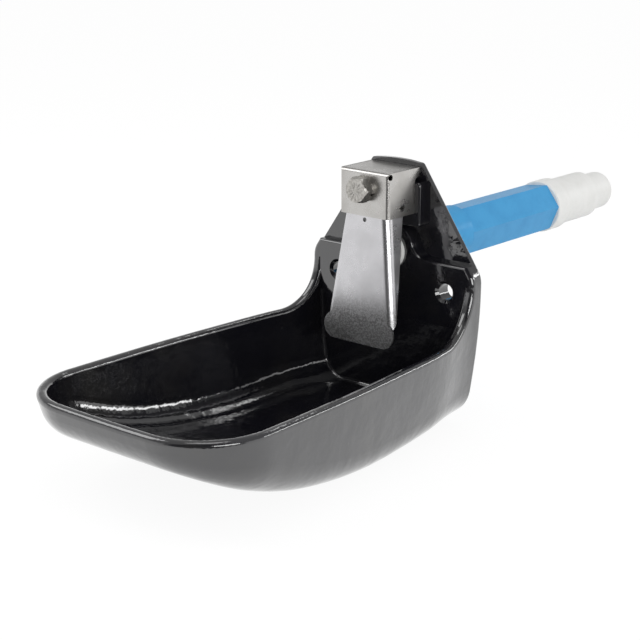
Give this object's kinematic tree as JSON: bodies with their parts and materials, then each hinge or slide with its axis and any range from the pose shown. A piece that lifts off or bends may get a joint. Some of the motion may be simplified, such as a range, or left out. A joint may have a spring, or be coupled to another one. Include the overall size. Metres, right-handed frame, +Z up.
{
  "type": "livestock drinking bowl",
  "caption": "Cast wall-mounted drinking bowl for livestock, with a hinged sheet tongue under a hood and an insulated pipe through the wall to its spring valve.",
  "frame": {"origin": "on the wall's face, halfway between the two wall bolts", "axes": "+X across the wall, +Y into the wall along the pipe, +Z up"},
  "size_m": [0.2006, 0.6104, 0.201],
  "materials": {
    "black_enamel": "glossy enamel",
    "hood_steel": "satin",
    "tongue_steel": "satin, grainy at the foot",
    "zinc": "dull zinc plating",
    "spring_steel": "bright",
    "rod_steel": "bright",
    "brass": "machined",
    "white_plastic": "satin",
    "blue_plastic": "smooth",
    "seal_rubber": "matt"
  },
  "bodies": {
    "bowl": {"bowl_casting": "black_enamel", "valve_hood": "hood_steel", "hood_bolt": "zinc", "lock_washer": "zinc", "pivot_pin": "spring_steel", "outlet_bush": "white_plastic", "pipe_gasket": "seal_rubber", "hex_sleeve": "blue_plastic", "water_pipe": "zinc", "rod_guide_front": "white_plastic", "rod_guide_rear": "white_plastic", "union_nut": "white_plastic", "valve_housing": "white_plastic", "pipe_seal": "seal_rubber", "valve_seat": "brass", "end_cap": "white_plastic", "cap_seal": "seal_rubber", "spindle_seal": "seal_rubber", "inlet_insert": "brass", "valve_spring": "spring_steel"},
    "tongue": {"tongue": "tongue_steel", "pivot_bush_left": "white_plastic", "pivot_bush_right": "white_plastic"},
    "rod": {"push_rod": "rod_steel", "push_button": "white_plastic", "button_lock_nut": "zinc", "valve_disc": "seal_rubber", "valve_plunger": "brass", "retaining_clip": "spring_steel"}
  },
  "joints": [
    {"name": "tongue_hinge", "type": "hinge", "parent": "bowl", "child": "tongue", "pos_m": [0, -0.0292, 0.0642], "axis": [1, 0, 0], "range_deg": [0, 9]},
    {"name": "push_rod_slide", "type": "slide", "parent": "bowl", "child": "rod", "axis": [0, 1, 0], "range_m": [0, 0.0064], "stiffness_N_per_m": 800, "springref_m": -0.012, "deforming": ["valve_spring"]}
  ],
  "couplings": [
    {"joint": "push_rod_slide", "follows": "tongue_hinge", "m_per_rad": 0.039}
  ]
}
